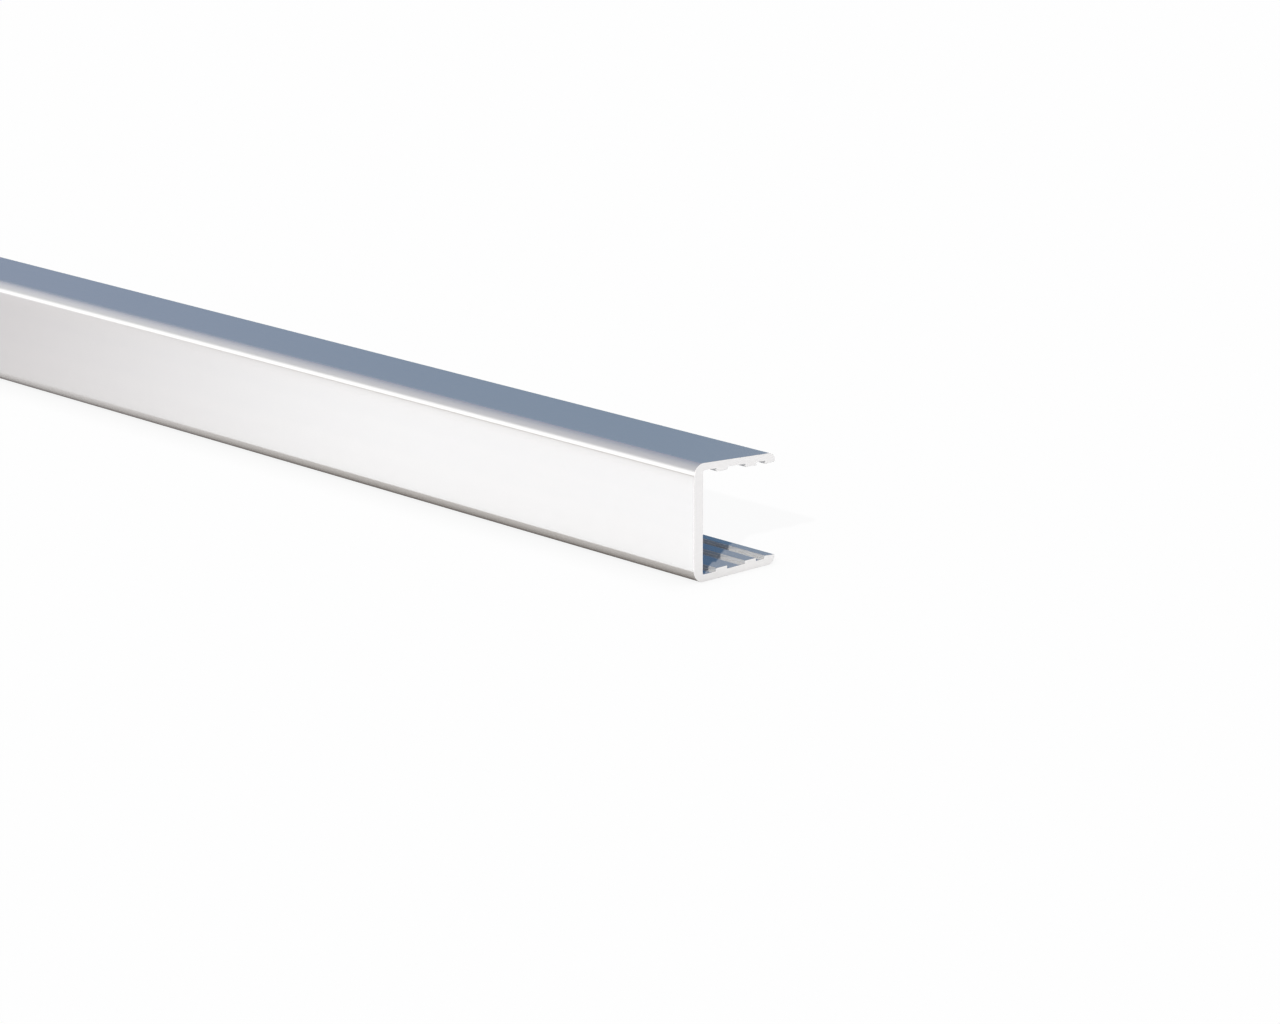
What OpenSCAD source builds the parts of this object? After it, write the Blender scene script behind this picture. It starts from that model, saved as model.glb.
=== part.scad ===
// Clamping edge profile: one extruded aluminium bar with a U-shaped section.
// The two flanges lean towards each other and carry ribs that grip a board.
// X runs along the bar, the web's outer face looks to -Y, the mouth opens to +Y and Z is up.
// The bar lies on the outer face of its lower flange, so the web leans by the toe-in.

/* [Bar] */

// Length of the bar
bar_length = 1000; // [100:50:3000]

/* [Section] */

// Height of the web over the sharp corners of the section
section_height = 25; // [18:0.5:40]
// Width from the web's outer face to the flange tips
section_width = 22; // [15:0.5:40]
// Thickness of the web
web_thickness = 2.4; // [1.5:0.1:4]
// Thickness of the flanges between their ribs
flange_thickness = 1.5; // [1:0.1:3]
// Angle by which each flange leans towards the other
toe_in = 2; // [0:0.25:4]

/* [Bends and corners] */

// Outside radius of the bends between web and flanges
bend_radius = 2.5; // [1:0.1:5]
// Fillet radius of the inside corners between web and flanges
corner_radius = 0.4; // [0.2:0.05:1]

/* [Ribs] */

// Height of the ribs above the flange's inner face
rib_height = 0.65; // [0.3:0.05:1.5]
// Width of one rib
rib_width = 3; // [1:0.1:5]
// Distance from the web's inner face to the first rib
rib_start = 3.65; // [1:0.05:8]
// Distance from one rib to the next
rib_pitch = 7.85; // [4:0.05:15]
// Share of the rib height that rounds each edge and each root of a rib
rib_round_share = 0.25; // [0.1:0.05:0.45]

/* [Lips] */

// Width of the lip at each flange tip
lip_width = 2.7; // [1:0.1:5]
// Thickness of flange and lip together at the very tip
tip_thickness = 1.9; // [1:0.05:3]
// Share of the tip's thickness that its outer rounding takes
tip_round_share = 0.9; // [0.3:0.05:0.95]

/* [Hidden] */

$fn = 96;
aluminium_colour = [0.86, 0.87, 0.88];

lip_start = section_width - lip_width;
first_rib = web_thickness + rib_start;
rib_count = floor((lip_start - first_rib - rib_width) / rib_pitch) + 1;
rib_rounding = rib_round_share * rib_height;
ribbed_thickness = flange_thickness + rib_height;
tip_radius = tip_round_share * tip_thickness;
// An arc cuts this far into the faces that it rounds, so that it meets them cleanly
arc_overlap = 0.0005;
// How far a corner piece reaches past its corner, as a share of its size
corner_reach_share = 0.25;

// Height of the lower flange's outer face, at a distance from the web's outer face
function outer_height(across) = across * tan(toe_in);

// Height of a line that runs inside that face at a constant depth
function inner_height(across, depth) = outer_height(across) + depth / cos(toe_in);

// Outline corners are written as [across, height, rounding radius]
function outer_corner(across, rounding) = [across, outer_height(across), rounding];
function inner_corner(across, depth, rounding) = [across, inner_height(across, depth), rounding];

function rib_corners(near, far) = [
    inner_corner(far, flange_thickness, rib_rounding),
    inner_corner(far, ribbed_thickness, rib_rounding),
    inner_corner(near, ribbed_thickness, rib_rounding),
    inner_corner(near, flange_thickness, rib_rounding)
];

// The ribs are met from the tip towards the web
function flange_ribs() = [
    for (i = [rib_count - 1 : -1 : 0])
        let (near = first_rib + i * rib_pitch)
        each rib_corners(near, near + rib_width)
];

function lower_corners() = concat(
    [
        outer_corner(0, bend_radius),
        outer_corner(section_width, tip_radius),
        inner_corner(section_width, tip_thickness, 0),
        inner_corner(lip_start, ribbed_thickness, rib_rounding),
        inner_corner(lip_start, flange_thickness, rib_rounding)
    ],
    flange_ribs(),
    [inner_corner(web_thickness, flange_thickness, corner_radius)]
);

// The upper half mirrors the lower one, in the opposite order
function mirrored(corners) = [
    for (i = [len(corners) - 1 : -1 : 0])
        [corners[i].x, section_height - corners[i].y, corners[i].z]
];

function flat(corner) = [corner.x, corner.y];
function unit(v) = v / norm(v);

// Every corner of a closed outline with the ones before and after it: [before, corner, after, radius]
function turns(corners) = let (count = len(corners)) [
    for (i = [0 : count - 1]) [
        flat(corners[(i + count - 1) % count]),
        flat(corners[i]),
        flat(corners[(i + 1) % count]),
        corners[i].z
    ]
];

// The outline runs anticlockwise, so that it turns right at an inward corner
function is_inward(turn) = cross(turn[1] - turn[0], turn[2] - turn[1]) < 0;
function is_round(turn) = turn[3] > 0;

function to_before(turn) = unit(turn[0] - turn[1]);
function to_after(turn) = unit(turn[2] - turn[1]);
function half_angle(turn) = acos(to_before(turn) * to_after(turn)) / 2;

// The two ends and the centre of the arc that rounds a corner
function arc_run(turn) = turn[3] / tan(half_angle(turn));
function arc_start(turn) = turn[1] + to_before(turn) * arc_run(turn);
function arc_stop(turn) = turn[1] + to_after(turn) * arc_run(turn);
function arc_centre(turn) =
    turn[1] + unit(to_before(turn) + to_after(turn)) * turn[3] / sin(half_angle(turn));

// Inward corners are filled as far as the chord of their arc
function filled_outline(all_turns) = [
    for (turn = all_turns)
        each is_inward(turn) && is_round(turn) ? [arc_start(turn), arc_stop(turn)] : [turn[1]]
];

// Centres of the lower bend and of the upper tip's rounding
bend_centre = [bend_radius, inner_height(bend_radius, bend_radius)];
tip_across = section_width - tip_radius;
tip_centre = [tip_across, section_height - inner_height(tip_across, tip_radius)];

// Depth of a section point once the lower flange lies flat
function lying_depth(point) = point.x * cos(toe_in) + point.y * sin(toe_in);

// These two roundings reach furthest back and furthest forward
middle_depth = (lying_depth(bend_centre) - bend_radius + lying_depth(tip_centre) + tip_radius) / 2;

module arc_disc(turn) {
    translate(arc_centre(turn)) circle(turn[3] + arc_overlap);
}

// What lies between an outward corner and its arc, reaching on past the corner
module corner_piece(turn) {
    centre = arc_centre(turn);
    kite = [for (point = [centre, arc_start(turn), turn[1], arc_stop(turn)]) point - centre];
    difference() {
        translate(centre) polygon((1 + corner_reach_share) * kite);
        arc_disc(turn);
    }
}

module rounded_outline(corners) {
    all_turns = turns(corners);
    difference() {
        polygon(filled_outline(all_turns));
        for (turn = all_turns)
            if (is_round(turn)) {
                if (is_inward(turn)) arc_disc(turn);
                else corner_piece(turn);
            }
    }
}

// The section with its lower flange flat on the ground, centred over its depth
module lying_section() {
    translate([-middle_depth, 0])
        rotate(-toe_in)
            rounded_outline(concat(lower_corners(), mirrored(lower_corners())));
}

module edge_profile() {
    color(aluminium_colour)
        rotate([90, 0, 90])
            linear_extrude(height = bar_length, center = true)
                lying_section();
}

edge_profile();
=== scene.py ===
"""Aluminium edge profile: an extruded U-shaped bar with gripping ribs, on a pale studio floor.

The bar is swept from the same section as the CAD solid that it replaces, with finer arcs and broken edges.
X runs along the bar, the web looks to -Y, the mouth opens to +Y and the lower flange lies on z = 0.
"""

import math

import bmesh
import bpy
from bpy.props import FloatProperty, FloatVectorProperty, IntProperty, PointerProperty
from mathutils import Matrix, Vector


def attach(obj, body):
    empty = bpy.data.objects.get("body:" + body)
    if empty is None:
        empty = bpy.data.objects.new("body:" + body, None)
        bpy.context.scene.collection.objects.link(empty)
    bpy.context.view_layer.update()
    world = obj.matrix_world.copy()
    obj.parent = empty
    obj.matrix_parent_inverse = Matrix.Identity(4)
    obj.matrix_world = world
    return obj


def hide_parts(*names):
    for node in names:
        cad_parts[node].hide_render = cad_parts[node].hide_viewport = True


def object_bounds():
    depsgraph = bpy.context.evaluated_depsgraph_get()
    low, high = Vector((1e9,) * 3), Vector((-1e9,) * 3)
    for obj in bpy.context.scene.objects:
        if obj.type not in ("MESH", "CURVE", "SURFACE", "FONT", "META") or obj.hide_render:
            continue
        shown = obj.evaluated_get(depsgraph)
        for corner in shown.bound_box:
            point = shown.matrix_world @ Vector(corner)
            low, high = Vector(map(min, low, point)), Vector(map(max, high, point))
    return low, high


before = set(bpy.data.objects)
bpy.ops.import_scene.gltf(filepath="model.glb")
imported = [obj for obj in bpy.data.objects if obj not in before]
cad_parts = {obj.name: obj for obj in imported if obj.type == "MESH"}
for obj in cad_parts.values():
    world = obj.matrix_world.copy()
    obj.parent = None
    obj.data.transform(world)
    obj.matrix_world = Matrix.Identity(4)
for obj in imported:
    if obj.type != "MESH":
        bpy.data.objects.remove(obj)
CAD_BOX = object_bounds()

bl_info = {
    "name": "Aluminium edge profile",
    "version": (1, 0, 0),
    "blender": (4, 5, 0),
    "location": "View3D > Sidebar > Edge profile",
    "description": "Sweeps a ribbed aluminium U-profile and sets it on a studio stage",
    "category": "Mesh",
}

MM = 0.001
CAD_NODE = "edge_profile"
BODY = "root"
WHITE = (1.0, 1.0, 1.0)
BLACK = (0.0, 0.0, 0.0)
OPAQUE = 1.0


def length_property(name, description, millimetres):
    """A size in metres whose default is written in millimetres."""
    return FloatProperty(
        name=name,
        description=description,
        default=millimetres * MM,
        min=0.0,
        precision=5,
        subtype="DISTANCE",
        unit="LENGTH",
    )


def angle_property(name, description, degrees):
    """An angle in radians whose default is written in degrees."""
    return FloatProperty(
        name=name,
        description=description,
        default=math.radians(degrees),
        subtype="ANGLE",
        unit="ROTATION",
    )


def share_property(name, description, share):
    """A share between nothing and all."""
    return FloatProperty(
        name=name,
        description=description,
        default=share,
        min=0.0,
        max=1.0,
        subtype="FACTOR",
    )


def colour_property(name, description, colour):
    """A colour in linear light."""
    return FloatVectorProperty(
        name=name,
        description=description,
        default=colour,
        min=0.0,
        soft_max=1.0,
        size=3,
        subtype="COLOR",
    )


class BarSizes(bpy.types.PropertyGroup):
    """Sizes of the bar and of its section."""

    length: length_property("Length", "Length of the bar", (CAD_BOX[1] - CAD_BOX[0]).x / MM)
    section_height: length_property("Height", "Height of the web over the sharp corners", 25.0)
    section_width: length_property("Width", "Width from the web's outer face to the flange tips", 22.0)
    web_thickness: length_property("Web", "Thickness of the web", 2.4)
    flange_thickness: length_property("Flange", "Thickness of the flanges between their ribs", 1.5)
    toe_in: angle_property("Toe-in", "Angle by which each flange leans towards the other", 2.0)
    bend_radius: length_property("Bend radius", "Outside radius of the bends", 2.5)
    corner_radius: length_property("Corner radius", "Fillet radius of the inside corners", 0.4)
    rib_height: length_property("Rib height", "Height of the ribs above the flange", 0.65)
    rib_width: length_property("Rib width", "Width of one rib", 3.0)
    rib_start: length_property("Rib start", "Distance from the web to the first rib", 3.65)
    rib_pitch: length_property("Rib pitch", "Distance from one rib to the next", 7.85)
    rib_round_share: share_property("Rib rounding", "Share of the rib height in each rounding", 0.25)
    lip_width: length_property("Lip width", "Width of the lip at each flange tip", 2.7)
    tip_thickness: length_property("Tip", "Thickness of flange and lip at the very tip", 1.9)
    tip_round_share: share_property("Tip rounding", "Share of the tip in its outer rounding", 0.9)
    edge_break: length_property("Edge break", "Width of the broken edge round each cut end", 0.06)
    arc_points: IntProperty(
        name="Arc points",
        description="Points on each rounded corner",
        default=12,
        min=2,
    )


class Finishes(bpy.types.PropertyGroup):
    """Colours of the metal as extruded and as sawn."""

    bright_colour: colour_property("Bright metal", "Colour of the extruded faces", (0.90, 0.90, 0.90))
    dull_colour: colour_property("Dull metal", "Colour of the duller bands", (0.86, 0.865, 0.875))
    sawn_colour: colour_property("Sawn metal", "Colour of the cut ends", (0.79, 0.79, 0.80))
    groove_colour: colour_property("Saw grooves", "Colour in the saw's grooves", (0.71, 0.71, 0.72))


class StageSettings(bpy.types.PropertyGroup):
    """Floor, studio light and camera."""

    floor_colour: colour_property("Floor", "Colour of the floor", (0.742, 0.764, 0.807))
    # Dark strip that only the metal sees; at the bar's foot the same colour is painted shade
    strip_and_foot_shade_colour: colour_property("Strips", "Colour of the strips that the bends show", (0.225, 0.21, 0.20))
    # Painted shade: the floor that the metal sees greys towards the far left, darkening the web there
    left_colour: colour_property("Left floor", "Colour of the floor to the left", (0.33, 0.320, 0.349))
    # Painted contact shade of the matt floor where the bar encloses it
    painted_foot_shade: colour_property("Foot", "Colour of the matt floor at the bar", (0.095, 0.08, 0.073))
    contact_colour: colour_property("Contact", "Shade of the white floor at the bar", (0.93, 0.93, 0.93))
    key_colour: colour_property("Key light", "Colour of the key light", (1.0, 0.96, 0.90))
    key_strength: FloatProperty(
        name="Key strength",
        description="Strength of the key light",
        default=4.55,
        min=0.0,
    )
    camera_azimuth: angle_property("Azimuth", "Side that the camera looks from", 49.497)
    camera_elevation: angle_property("Elevation", "Height that the camera looks from", 13.727)
    camera_lens: FloatProperty(
        name="Lens",
        description="Focal length of the camera",
        default=127.7,
        unit="CAMERA",
    )


class EdgeProfileSettings(bpy.types.PropertyGroup):
    """Everything that the panel shows."""

    bar: PointerProperty(type=BarSizes)
    finishes: PointerProperty(type=Finishes)
    stage: PointerProperty(type=StageSettings)


class Wire:
    """An output socket whose arithmetic adds Math nodes to its graph."""

    def __init__(self, graph, socket):
        self.graph = graph
        self.socket = socket

    def out(self, name):
        """Another output of the same node."""
        return Wire(self.graph, self.socket.node.outputs[name])

    def math(self, operation, first, second=0.0):
        """A Math node on one or two values or outputs."""
        return self.graph.node("ShaderNodeMath", {"operation": operation}, {0: first, 1: second})

    def __add__(self, other):
        return self.math("ADD", self, other)

    def __sub__(self, other):
        return self.math("SUBTRACT", self, other)

    def __rsub__(self, other):
        return self.math("SUBTRACT", other, self)

    def __mul__(self, other):
        return self.math("MULTIPLY", self, other)

    def __truediv__(self, other):
        return self.math("DIVIDE", self, other)

    def __gt__(self, other):
        return self.math("GREATER_THAN", self, other)

    def __lt__(self, other):
        return self.math("LESS_THAN", self, other)

    def __abs__(self):
        return self.math("ABSOLUTE", self)

    __radd__ = __add__
    __rmul__ = __mul__


class Graph:
    """A node tree that is filled one node at a time."""

    RAMP_END = 1.0

    def __init__(self, tree):
        self.tree = tree
        tree.nodes.clear()

    def node(self, kind, settings=None, sockets=None, output=0):
        """Adds a node, sets its settings first and its sockets next, and returns one of its outputs."""
        made = self.tree.nodes.new(kind)
        for name, value in (settings or {}).items():
            if name == "stops":
                self.set_stops(made.color_ramp, value)
            else:
                setattr(made, name, value)
        for key, value in (sockets or {}).items():
            for link in value if isinstance(value, list) else [value]:
                if isinstance(link, Wire):
                    self.tree.links.new(link.socket, made.inputs[key])
                else:
                    made.inputs[key].default_value = link
        return Wire(self, made.outputs[output]) if made.outputs else None

    def set_stops(self, ramp, stops):
        """Gives a colour ramp its stops, as pairs of place and colour."""
        while len(ramp.elements) < len(stops):
            ramp.elements.new(self.RAMP_END)
        for element, (place, colour) in zip(ramp.elements, stops):
            element.position = place
            element.color = (*colour, OPAQUE)

    def mixed(self, share, first, second):
        """A colour between two others, each of which is a colour or the output of a node."""
        # The node's colour sockets share their names with its other sockets, so they go by number
        factor, first_colour, second_colour, result = 0, 6, 7, 2
        first, second = (end if isinstance(end, Wire) else (*end, OPAQUE) for end in (first, second))
        colours = {factor: share, first_colour: first, second_colour: second}
        return self.node("ShaderNodeMix", {"data_type": "RGBA"}, colours, result)

    def rising(self, value, start, stop):
        """Rises smoothly from 0 to 1 between two values."""
        limits = {"Value": value, "From Min": start, "From Max": stop}
        return self.node("ShaderNodeMapRange", {"interpolation_type": "SMOOTHSTEP"}, limits)

    def streaks(self, place, cycles_per_metre, detail):
        """Noise that is drawn out along the axes with few cycles per metre."""
        mapped = self.node("ShaderNodeMapping", {}, {"Vector": place, "Scale": cycles_per_metre})
        return self.node("ShaderNodeTexNoise", {}, {"Vector": mapped, "Scale": 1.0, "Detail": detail})


def material_graph(name):
    """A new material and the empty graph that its nodes go in."""
    material = bpy.data.materials.new(name)
    material.use_nodes = True
    return material, Graph(material.node_tree)


def outer_height(sizes, across):
    """Height of the lower flange's outer face, at a distance from the web's outer face."""
    return across * math.tan(sizes.toe_in)


def inner_height(sizes, across, depth):
    """Height of a line that runs inside that face at a constant depth."""
    return outer_height(sizes, across) + depth / math.cos(sizes.toe_in)


def tip_radius(sizes):
    """Radius of the outer rounding at each flange tip."""
    return sizes.tip_round_share * sizes.tip_thickness


def rib_places(sizes):
    """Distance of each rib's near side from the web's outer face."""
    first = sizes.web_thickness + sizes.rib_start
    room = sizes.section_width - sizes.lip_width - first - sizes.rib_width
    count = math.floor(room / sizes.rib_pitch) + 1
    return [first + number * sizes.rib_pitch for number in range(count)]


def lower_corners(sizes):
    """Corners of the lower half as (across, height, rounding), from the bend to the tip and back."""
    bare = sizes.flange_thickness
    ribbed = bare + sizes.rib_height
    rounding = sizes.rib_round_share * sizes.rib_height
    lip_start = sizes.section_width - sizes.lip_width

    def inner(across, depth, radius):
        return (across, inner_height(sizes, across, depth), radius)

    corners = [
        (0.0, 0.0, sizes.bend_radius),
        (sizes.section_width, outer_height(sizes, sizes.section_width), tip_radius(sizes)),
        inner(sizes.section_width, sizes.tip_thickness, 0.0),
        inner(lip_start, ribbed, rounding),
        inner(lip_start, bare, rounding),
    ]
    for near in reversed(rib_places(sizes)):
        far = near + sizes.rib_width
        corners += [inner(far, bare, rounding), inner(far, ribbed, rounding)]
        corners += [inner(near, ribbed, rounding), inner(near, bare, rounding)]
    corners.append(inner(sizes.web_thickness, bare, sizes.corner_radius))
    return corners


def section_corners(sizes):
    """Corners of the whole section, anticlockwise: the upper half mirrors the lower one."""
    lower = lower_corners(sizes)
    upper = [(across, sizes.section_height - height, radius) for across, height, radius in reversed(lower)]
    return lower + upper


def lying_depth(sizes, across, height):
    """Depth of a section point once the lower flange lies flat."""
    return across * math.cos(sizes.toe_in) + height * math.sin(sizes.toe_in)


def middle_depth(sizes):
    """Depth half way between the lower bend and the upper tip, which reach furthest back and forward."""
    bend = sizes.bend_radius
    back = lying_depth(sizes, bend, inner_height(sizes, bend, bend)) - bend
    tip = tip_radius(sizes)
    across = sizes.section_width - tip
    front = lying_depth(sizes, across, sizes.section_height - inner_height(sizes, across, tip)) + tip
    return (back + front) / 2


def outline_mesh(sizes):
    """The section's sharp outline as a loop of edges, with each corner's rounding as an attribute."""
    corners = section_corners(sizes)
    count = len(corners)
    mesh = bpy.data.meshes.new("section_outline")
    points = [(across, height, 0.0) for across, height, radius in corners]
    mesh.from_pydata(points, [(number, (number + 1) % count) for number in range(count)], [])
    rounding = mesh.attributes.new("rounding", "FLOAT", "POINT")
    rounding.data.foreach_set("value", [radius for across, height, radius in corners])
    return mesh


UPWARD = (0.0, 0.0, 1.0)
RIGHT_ANGLE = math.radians(90.0)
WELD_DISTANCE = 0.001 * MM
# A face belongs to a cut end where its normal has more than this along the bar
END_NORMAL = 0.5


def extrusion_tree():
    """Geometry nodes that round a sharp outline, fill it, push it out to a bar and lay the bar down."""
    tree = bpy.data.node_groups.new("extruded_bar", "GeometryNodeTree")
    graph = Graph(tree)
    sockets = {
        "Outline": "NodeSocketGeometry",
        "Length": "NodeSocketFloat",
        "Arc points": "NodeSocketInt",
        "Toe-in": "NodeSocketFloat",
        "Middle depth": "NodeSocketFloat",
        "Side finish": "NodeSocketMaterial",
        "End finish": "NodeSocketMaterial",
    }
    for name, kind in sockets.items():
        tree.interface.new_socket(name, in_out="INPUT", socket_type=kind)
    tree.interface.new_socket("Bar", in_out="OUTPUT", socket_type="NodeSocketGeometry")

    given = graph.node("NodeGroupInput")
    length = given.out("Length")
    curve = graph.node("GeometryNodeMeshToCurve", {}, {"Mesh": given.out("Outline")})
    rounding = graph.node("GeometryNodeInputNamedAttribute", {"data_type": "FLOAT"}, {"Name": "rounding"})
    rounded = graph.node(
        "GeometryNodeFilletCurve",
        {"mode": "POLY"},
        {"Curve": curve, "Count": given.out("Arc points"), "Radius": rounding},
    )
    section = graph.node("GeometryNodeFillCurve", {"mode": "NGONS"}, {"Curve": rounded})
    pushed = graph.node(
        "GeometryNodeExtrudeMesh",
        {"mode": "FACES"},
        {"Mesh": section, "Offset": UPWARD, "Offset Scale": length, "Individual": False},
    )
    first_end = graph.node("GeometryNodeFlipFaces", {}, {"Mesh": section})
    joined = graph.node("GeometryNodeJoinGeometry", {}, {"Geometry": [pushed, first_end]})
    closed = graph.node("GeometryNodeMergeByDistance", {}, {"Geometry": joined, "Distance": WELD_DISTANCE})

    lean = graph.node("ShaderNodeCombineXYZ", {}, {"Z": 0.0 - given.out("Toe-in")})
    to_middle = 0.0 - given.out("Middle depth")
    shift = graph.node("ShaderNodeCombineXYZ", {}, {"X": to_middle, "Z": length / -2.0})
    flat = graph.node(
        "GeometryNodeTransform",
        {},
        {"Geometry": closed, "Translation": shift, "Rotation": lean},
    )
    lying = graph.node(
        "GeometryNodeTransform",
        {},
        {"Geometry": flat, "Rotation": (RIGHT_ANGLE, 0.0, RIGHT_ANGLE)},
    )
    smooth = graph.node("GeometryNodeSetShadeSmooth", {}, {"Geometry": lying})

    real = graph.node("GeometryNodeRealizeInstances", {}, {"Geometry": smooth})
    sides = graph.node(
        "GeometryNodeSetMaterial",
        {},
        {"Geometry": real, "Material": given.out("Side finish")},
    )
    normal = graph.node("GeometryNodeInputNormal")
    along = graph.node("ShaderNodeSeparateXYZ", {}, {"Vector": normal}, "X")
    ends = graph.node(
        "GeometryNodeSetMaterial",
        {},
        {"Geometry": sides, "Selection": abs(along) > END_NORMAL, "Material": given.out("End finish")},
    )
    graph.node("NodeGroupOutput", {}, {"Bar": ends})
    return tree


BROKEN_EDGE_ANGLE = math.radians(40.0)
BROKEN_EDGE_STEPS = 2


def swept_bar(sizes, side_finish, end_finish):
    """Runs the extrusion tree on the section's outline and returns the result as a plain mesh."""
    tree = extrusion_tree()
    builder = bpy.data.objects.new("bar_builder", outline_mesh(sizes))
    bpy.context.scene.collection.objects.link(builder)
    extrusion = builder.modifiers.new("extrusion", "NODES")
    extrusion.node_group = tree
    values = {
        "Length": sizes.length,
        "Arc points": sizes.arc_points,
        "Toe-in": sizes.toe_in,
        "Middle depth": middle_depth(sizes),
        "Side finish": side_finish,
        "End finish": end_finish,
    }
    for item in tree.interface.items_tree:
        if item.name in values:
            extrusion[item.identifier] = values[item.name]
    bevel = builder.modifiers.new("broken_edges", "BEVEL")
    bevel.width = sizes.edge_break
    bevel.segments = BROKEN_EDGE_STEPS
    bevel.limit_method = "ANGLE"
    bevel.angle_limit = BROKEN_EDGE_ANGLE
    bevel.use_clamp_overlap = False
    builder.modifiers.new("flat_faces", "WEIGHTED_NORMAL")
    depsgraph = bpy.context.evaluated_depsgraph_get()
    mesh = bpy.data.meshes.new_from_object(
        builder.evaluated_get(depsgraph),
        preserve_all_data_layers=True,
        depsgraph=depsgraph,
    )
    outline = builder.data
    bpy.data.objects.remove(builder)
    bpy.data.meshes.remove(outline)
    return mesh


def signed_volume(mesh):
    """Volume inside the mesh, which is negative where its faces point inwards."""
    shell = bmesh.new()
    shell.from_mesh(mesh)
    volume = shell.calc_volume(signed=True)
    shell.free()
    return volume


# Cycles per metre along X, Y and Z
DIE_LINES = (3.0, 2600.0, 2600.0)
DIE_BANDS = (0.8, 240.0, 240.0)
DIE_LINE_DETAIL = 2.0
DIE_BAND_DETAIL = 1.0
DIE_LINE_DEPTH = 0.002 * MM
DIE_LINE_STRENGTH = 0.05
METAL_SHARE = 0.70


def extruded_aluminium(finishes):
    """Bright metal with faint lines that the die left along the bar."""
    material, graph = material_graph("extruded_aluminium")
    place = graph.node("ShaderNodeTexCoord", output="Object")
    lines = graph.streaks(place, DIE_LINES, DIE_LINE_DETAIL)
    bands = graph.streaks(place, DIE_BANDS, DIE_BAND_DETAIL)
    smoothest, by_lines, by_bands = 0.06, 0.03, 0.03
    bump = graph.node(
        "ShaderNodeBump",
        {},
        {"Height": lines, "Strength": DIE_LINE_STRENGTH, "Distance": DIE_LINE_DEPTH},
    )
    metal = graph.node(
        "ShaderNodeBsdfPrincipled",
        {},
        {
            "Base Color": graph.mixed(bands, finishes.bright_colour, finishes.dull_colour),
            "Metallic": METAL_SHARE,
            "Roughness": smoothest + by_lines * lines + by_bands * bands,
            "Normal": bump,
        },
    )
    graph.node("ShaderNodeOutputMaterial", {}, {"Surface": metal})
    return material


SAWN_METAL_SHARE = 0.35
BLADE_CENTRE = (0.0, -30.0 * MM, 140.0 * MM)
GROOVES_PER_METRE = 2400.0
GROOVE_DETAIL = 2.0
GROOVE_DEPTH = 0.01 * MM
GROOVE_STRENGTH = 0.25


def sawn_aluminium(finishes):
    """Matt metal with the shallow arcs that a saw blade left across the cut ends."""
    material, graph = material_graph("sawn_aluminium")
    place = graph.node("ShaderNodeTexCoord", output="Object")
    off_centre = graph.node("ShaderNodeVectorMath", {"operation": "SUBTRACT"}, {0: place, 1: BLADE_CENTRE})
    across = graph.node("ShaderNodeSeparateXYZ", {}, {"Vector": off_centre}, "Y")
    flat = graph.node("ShaderNodeCombineXYZ", {}, {"Y": across, "Z": across.out("Z")})
    reach = graph.node("ShaderNodeVectorMath", {"operation": "LENGTH"}, {0: flat}, "Value")
    ring = graph.node("ShaderNodeCombineXYZ", {}, {"X": reach * GROOVES_PER_METRE})
    grooves = graph.node("ShaderNodeTexNoise", {}, {"Vector": ring, "Scale": 1.0, "Detail": GROOVE_DETAIL})
    smoothest, by_grooves = 0.42, 0.12
    bump = graph.node(
        "ShaderNodeBump",
        {},
        {"Height": grooves, "Strength": GROOVE_STRENGTH, "Distance": GROOVE_DEPTH},
    )
    metal = graph.node(
        "ShaderNodeBsdfPrincipled",
        {},
        {
            "Base Color": graph.mixed(grooves, finishes.sawn_colour, finishes.groove_colour),
            "Metallic": SAWN_METAL_SHARE,
            "Roughness": smoothest + by_grooves * grooves,
            "Normal": bump,
        },
    )
    graph.node("ShaderNodeOutputMaterial", {}, {"Surface": metal})
    return material


FLOOR_SIDE = 60.0
# The floor lies this far under the bar, so that their faces don't meet
FLOOR_DROP = 0.05 * MM
CAMERA_WHITE_SHARE = 0.95
CONTACT_REACH = 10.0 * MM
CONTACT_SAMPLES = 4
# Up to here the metal shows the matt floor, and beyond it white
MATT_EDGE = (150.0 * MM, 185.0 * MM)
# Here the floor in front gives way to the floor behind, which shows partly white
UNDER_BAR = (-5.0 * MM, 5.0 * MM)
BEHIND_WHITE_SHARE = 0.5
# Edges of the strip further out and of the painted shade at the bar's foot, along Y
STRIP_EDGE = (-88.0 * MM, -78.0 * MM)
FOOT_EDGE = (-18.8 * MM, -17.4 * MM)
# At the foot the floor turns this far to the strip's colour, as painted shade
FOOT_SHARE = 0.98
# On the left the foot and the strip turn this far from the painted grey shade to the plain colour
LEFT_FOOT_SHARE = 0.45
LEFT_STRIP_SHARE = 0.45
# The painted grey shade to the left ends between these, measured along the bar
GREY_TO_PALE = (180.0 * MM, 430.0 * MM)


def marked_colour(graph, stage, along, inward):
    """Colour of the floor in front: a dark strip further out, painted shade at the bar's foot, and painted
    grey shade to the left.
    """
    foot = graph.rising(inward, *FOOT_EDGE)
    strip = 1.0 - graph.rising(inward, *STRIP_EDGE)
    striped = graph.mixed(strip + FOOT_SHARE * foot, stage.floor_colour, stage.strip_and_foot_shade_colour)
    paler = LEFT_STRIP_SHARE * strip + LEFT_FOOT_SHARE * foot
    greyed = graph.mixed(paler, stage.left_colour, stage.floor_colour)
    # The painted grey shade runs the way in which the web mirrors the camera's view
    across_view = along - math.tan(stage.camera_azimuth) * inward
    return graph.mixed(graph.rising(across_view, *GREY_TO_PALE), greyed, striped)


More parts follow.
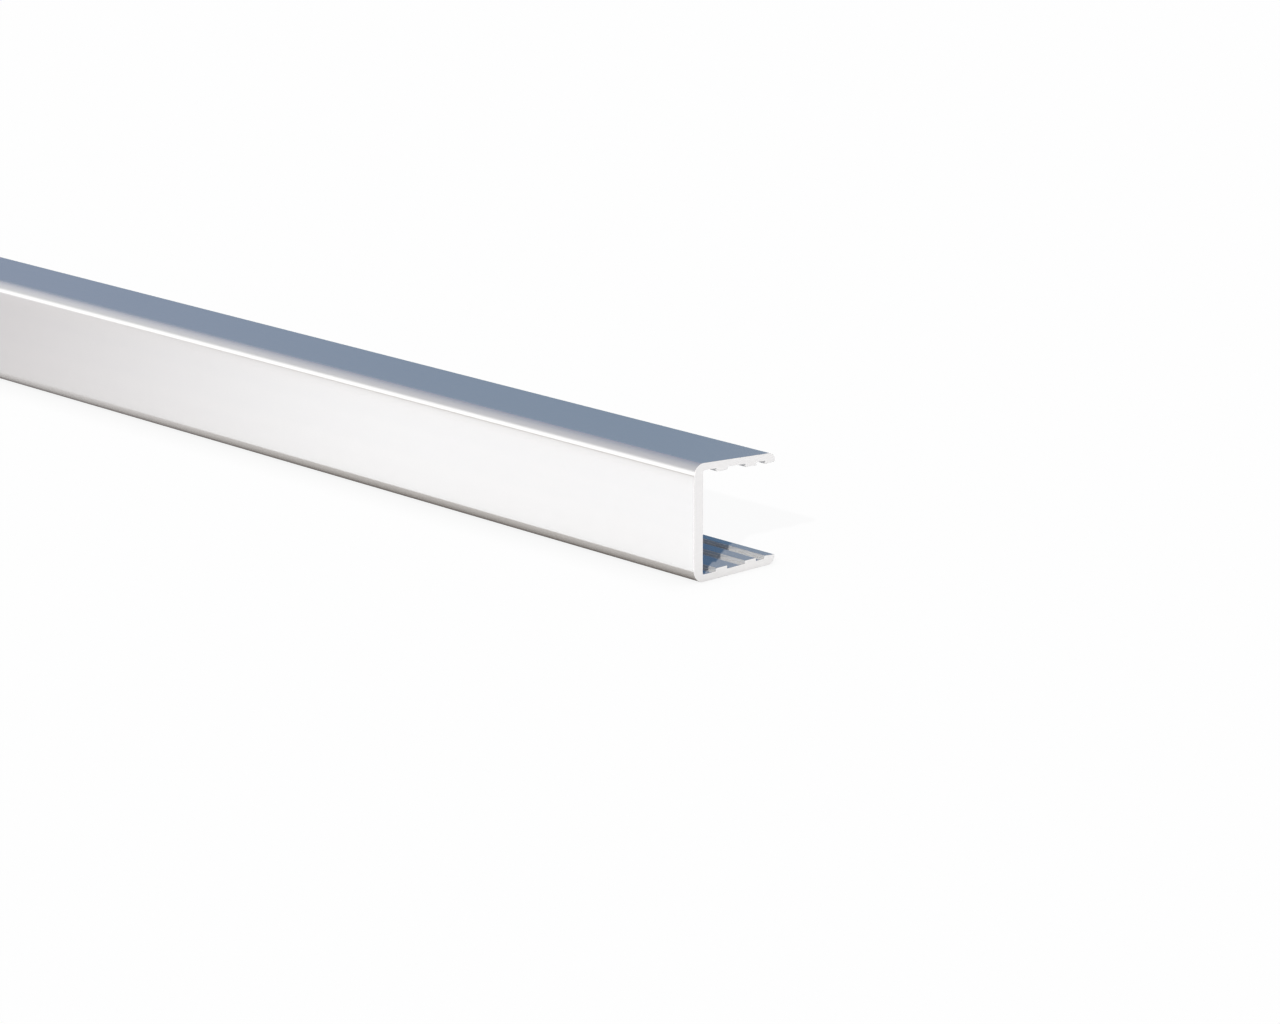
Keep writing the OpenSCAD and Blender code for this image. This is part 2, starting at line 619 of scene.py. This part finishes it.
def floor_finish(stage, sizes):
    """White to the camera. Near the bar the metal shows it matt, with marks and painted shade in front of
    the bar.
    """
    material, graph = material_graph("studio_floor")
    place = graph.node("ShaderNodeTexCoord", output="Object")
    along = graph.node("ShaderNodeSeparateXYZ", {}, {"Vector": place}, "X")
    inward = along.out("Y")
    camera = graph.node("ShaderNodeLightPath", output="Is Camera Ray")
    mirrored = camera.out("Is Glossy Ray") + camera.out("Is Transmission Ray")
    near = 1.0 - graph.rising(abs(inward), *MATT_EDGE)
    behind = graph.rising(inward, *UNDER_BAR)
    before_end = sizes.length / 2 > along
    front = near * before_end * (1.0 - behind)
    marked = marked_colour(graph, stage, along, inward)
    paper = graph.mixed(front * (1.0 - camera), stage.floor_colour, marked)
    openness = graph.node(
        "ShaderNodeAmbientOcclusion",
        {"samples": CONTACT_SAMPLES},
        {"Distance": CONTACT_REACH},
        "AO",
    )
    # Painted contact shade: the matt floor darkens where the bar encloses it
    shaded_paper = graph.mixed(openness, stage.painted_foot_shade, paper)
    matt = graph.node(
        "ShaderNodeBsdfPrincipled",
        {},
        {"Base Color": shaded_paper, "Roughness": 1.0, "Specular IOR Level": 0.0},
    )
    white = graph.node(
        "ShaderNodeBsdfPrincipled",
        {},
        {
            "Base Color": (*BLACK, OPAQUE),
            "Specular IOR Level": 0.0,
            # Painted contact shade on the white floor where the bar encloses it
            "Emission Color": graph.mixed(openness, stage.contact_colour, WHITE),
            "Emission Strength": 1.0,
        },
    )
    mirrored_white = 1.0 - near * (1.0 - BEHIND_WHITE_SHARE * behind)
    whiteness = CAMERA_WHITE_SHARE * camera + mirrored * mirrored_white
    surface = graph.node("ShaderNodeMixShader", {}, {0: whiteness, 1: matt, 2: white})
    graph.node("ShaderNodeOutputMaterial", {}, {"Surface": surface})
    return material


def studio_floor(stage, sizes):
    """A wide level floor that the bar lies on."""
    half = FLOOR_SIDE / 2
    corners = [(-half, -half), (half, -half), (half, half), (-half, half)]
    mesh = bpy.data.meshes.new("studio_floor")
    mesh.from_pydata([(x, y, -FLOOR_DROP) for x, y in corners], [], [range(len(corners))])
    mesh.materials.append(floor_finish(stage, sizes))
    floor = bpy.data.objects.new("studio_floor", mesh)
    bpy.context.scene.collection.objects.link(floor)
    return floor


# Colours round the bar, from behind it at 0, over the top, to the front at 1
OPEN_STOPS = [
    (0.00, (0.55, 0.56, 0.58)),
    (0.30, (0.38, 0.38, 0.39)),
    (0.60, (0.16, 0.16, 0.16)),
    (0.78, (0.30, 0.30, 0.30)),
    (0.89, (0.92, 0.92, 0.92)),
    (1.00, (1.00, 1.00, 1.00)),
]
LEFT_STOPS = [
    (0.00, (0.052, 0.133, 0.25)),
    (0.08, (0.052, 0.133, 0.25)),
    (0.20, (0.006, 0.068, 0.185)),
    (0.34, (0.00, 0.03, 0.15)),
    (0.43, (0.005, 0.05, 0.15)),
    (0.60, (0.10, 0.12, 0.19)),
    (0.70, (0.145, 0.16, 0.225)),
    (0.78, (0.19, 0.20, 0.245)),
    (0.89, (0.90, 0.90, 0.91)),
    (1.00, (1.00, 1.00, 1.00)),
]
FAR_LEFT_STOPS = [
    (0.00, (0.126, 0.191, 0.315)),
    (0.08, (0.126, 0.191, 0.315)),
    (0.20, (0.085, 0.145, 0.25)),
    (0.34, (0.095, 0.157, 0.275)),
    (0.43, (0.18, 0.215, 0.32)),
    (0.60, (0.295, 0.315, 0.39)),
    (0.70, (0.32, 0.34, 0.395)),
    (0.78, (0.345, 0.37, 0.40)),
    (0.89, (0.93, 0.93, 0.94)),
    (1.00, (1.00, 1.00, 1.00)),
]
# How far a direction points along X where the left side and the far left begin, and where they are full
LEFT_SIDE = (-0.60, -0.74)
FAR_LEFT = (-0.74, -0.86)


def studio_world():
    """Soft light: grey behind the bar, darker over the top, white in front, and blue to the left."""
    world = bpy.data.worlds.new("studio")
    world.use_nodes = True
    graph = Graph(world.node_tree)
    direction = graph.node("ShaderNodeTexCoord", output="Generated")
    back = graph.node("ShaderNodeSeparateXYZ", {}, {"Vector": direction}, "Y")
    round_bar = back.math("ARCTAN2", back.out("Z"), back) / math.pi
    open_colour = graph.node("ShaderNodeValToRGB", {"stops": OPEN_STOPS}, {"Fac": round_bar})
    left_colour = graph.node("ShaderNodeValToRGB", {"stops": LEFT_STOPS}, {"Fac": round_bar})
    far_left_colour = graph.node("ShaderNodeValToRGB", {"stops": FAR_LEFT_STOPS}, {"Fac": round_bar})
    left = graph.rising(back.out("X"), *LEFT_SIDE)
    far_left = graph.rising(back.out("X"), *FAR_LEFT)
    colour = graph.mixed(far_left, graph.mixed(left, open_colour, left_colour), far_left_colour)
    studio = graph.node("ShaderNodeBackground", {}, {"Color": colour, "Strength": 1.0})
    white = graph.node("ShaderNodeBackground", {}, {"Color": (*WHITE, OPAQUE), "Strength": 1.0})
    camera = graph.node("ShaderNodeLightPath", output="Is Camera Ray")
    sky = graph.node("ShaderNodeMixShader", {}, {0: camera, 1: studio, 2: white})
    graph.node("ShaderNodeOutputWorld", {}, {"Surface": sky})
    return world


def towards(azimuth, elevation):
    """Direction to what is seen at an azimuth and elevation: azimuth 0 is -Y, and 90 degrees is +X."""
    level = math.cos(elevation)
    return Vector((math.sin(azimuth) * level, -math.cos(azimuth) * level, math.sin(elevation)))


KEY_AZIMUTH = math.radians(34.0)
KEY_ELEVATION = math.radians(33.0)
KEY_SPREAD = math.radians(1.5)


def key_light(stage):
    """A distant lamp in front of the bar, which throws a clear shadow into the channel."""
    data = bpy.data.lights.new("key_light", "SUN")
    data.angle = KEY_SPREAD
    data.energy = stage.key_strength
    data.color = stage.key_colour
    lamp = bpy.data.objects.new("key_light", data)
    lamp.rotation_euler = towards(KEY_AZIMUTH, KEY_ELEVATION).to_track_quat("Z", "Y").to_euler()
    bpy.context.scene.collection.objects.link(lamp)


# Place of the camera from the sharp lower corner of the near end, with the web upright
CAMERA_FROM_CORNER = Vector((671.4, -587.9, 233.1)) * MM
SENSOR_WIDTH = 36.0


def photo_camera(stage, sizes):
    """A camera that is level with the web upright, so it leans by the toe-in with the bar on its flange."""
    data = bpy.data.cameras.new("camera")
    data.sensor_width = SENSOR_WIDTH
    data.lens = stage.camera_lens
    camera = bpy.data.objects.new("camera", data)
    view = towards(stage.camera_azimuth, stage.camera_elevation).to_track_quat("Z", "Y")
    upright = Matrix.Translation(CAMERA_FROM_CORNER) @ view.to_matrix().to_4x4()
    corner = Matrix.Translation((sizes.length / 2, -middle_depth(sizes), 0.0))
    camera.matrix_world = corner @ Matrix.Rotation(-sizes.toe_in, 4, "X") @ upright
    bpy.context.scene.collection.objects.link(camera)
    bpy.context.scene.camera = camera


class EDGE_PROFILE_OT_bar(bpy.types.Operator):
    """Sweep the ribbed section along the bar and give it its finishes"""

    bl_idname = "edge_profile.bar"
    bl_label = "Extruded bar"

    def execute(self, context):
        settings = context.scene.edge_profile
        side_finish = extruded_aluminium(settings.finishes)
        end_finish = sawn_aluminium(settings.finishes)
        mesh = swept_bar(settings.bar, side_finish, end_finish)
        if signed_volume(mesh) <= 0.0:
            raise RuntimeError("the bar's faces point inwards")
        bar = bpy.data.objects.new("extruded_bar", mesh)
        context.scene.collection.objects.link(bar)
        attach(bar, BODY)
        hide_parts(CAD_NODE)
        return {"FINISHED"}


class EDGE_PROFILE_OT_stage(bpy.types.Operator):
    """Set up the floor, the studio light and the camera"""

    bl_idname = "edge_profile.stage"
    bl_label = "Studio stage"

    def execute(self, context):
        settings = context.scene.edge_profile
        studio_floor(settings.stage, settings.bar)
        context.scene.world = studio_world()
        key_light(settings.stage)
        photo_camera(settings.stage, settings.bar)
        context.scene.view_settings.view_transform = "Standard"
        # Light that the metal throws back on other faces would only add noise
        context.scene.cycles.caustics_reflective = False
        return {"FINISHED"}


class EDGE_PROFILE_PT_panel(bpy.types.Panel):
    """Lists the sizes, the finishes, the stage and the steps"""

    bl_idname = "EDGE_PROFILE_PT_panel"
    bl_label = "Edge profile"
    bl_space_type = "VIEW_3D"
    bl_region_type = "UI"
    bl_category = "Edge profile"

    def draw(self, context):
        settings = context.scene.edge_profile
        for group in (settings.bar, settings.finishes, settings.stage):
            box = self.layout.box()
            for name in group.bl_rna.properties.keys():
                if name not in ("rna_type", "name"):
                    box.prop(group, name)
        for operator in (EDGE_PROFILE_OT_bar, EDGE_PROFILE_OT_stage):
            self.layout.operator(operator.bl_idname)


CLASSES = (
    BarSizes,
    Finishes,
    StageSettings,
    EdgeProfileSettings,
    EDGE_PROFILE_OT_bar,
    EDGE_PROFILE_OT_stage,
    EDGE_PROFILE_PT_panel,
)


def register():
    """Registers the classes and gives each scene its settings."""
    for kind in CLASSES:
        bpy.utils.register_class(kind)
    bpy.types.Scene.edge_profile = PointerProperty(type=EdgeProfileSettings)


def unregister():
    """Undoes what register does."""
    del bpy.types.Scene.edge_profile
    for kind in reversed(CLASSES):
        bpy.utils.unregister_class(kind)


def main():
    """Makes the bar and the stage."""
    register()
    bpy.ops.edge_profile.bar()
    bpy.ops.edge_profile.stage()
    bpy.context.view_layer.update()


if __name__ == "__main__":
    main()
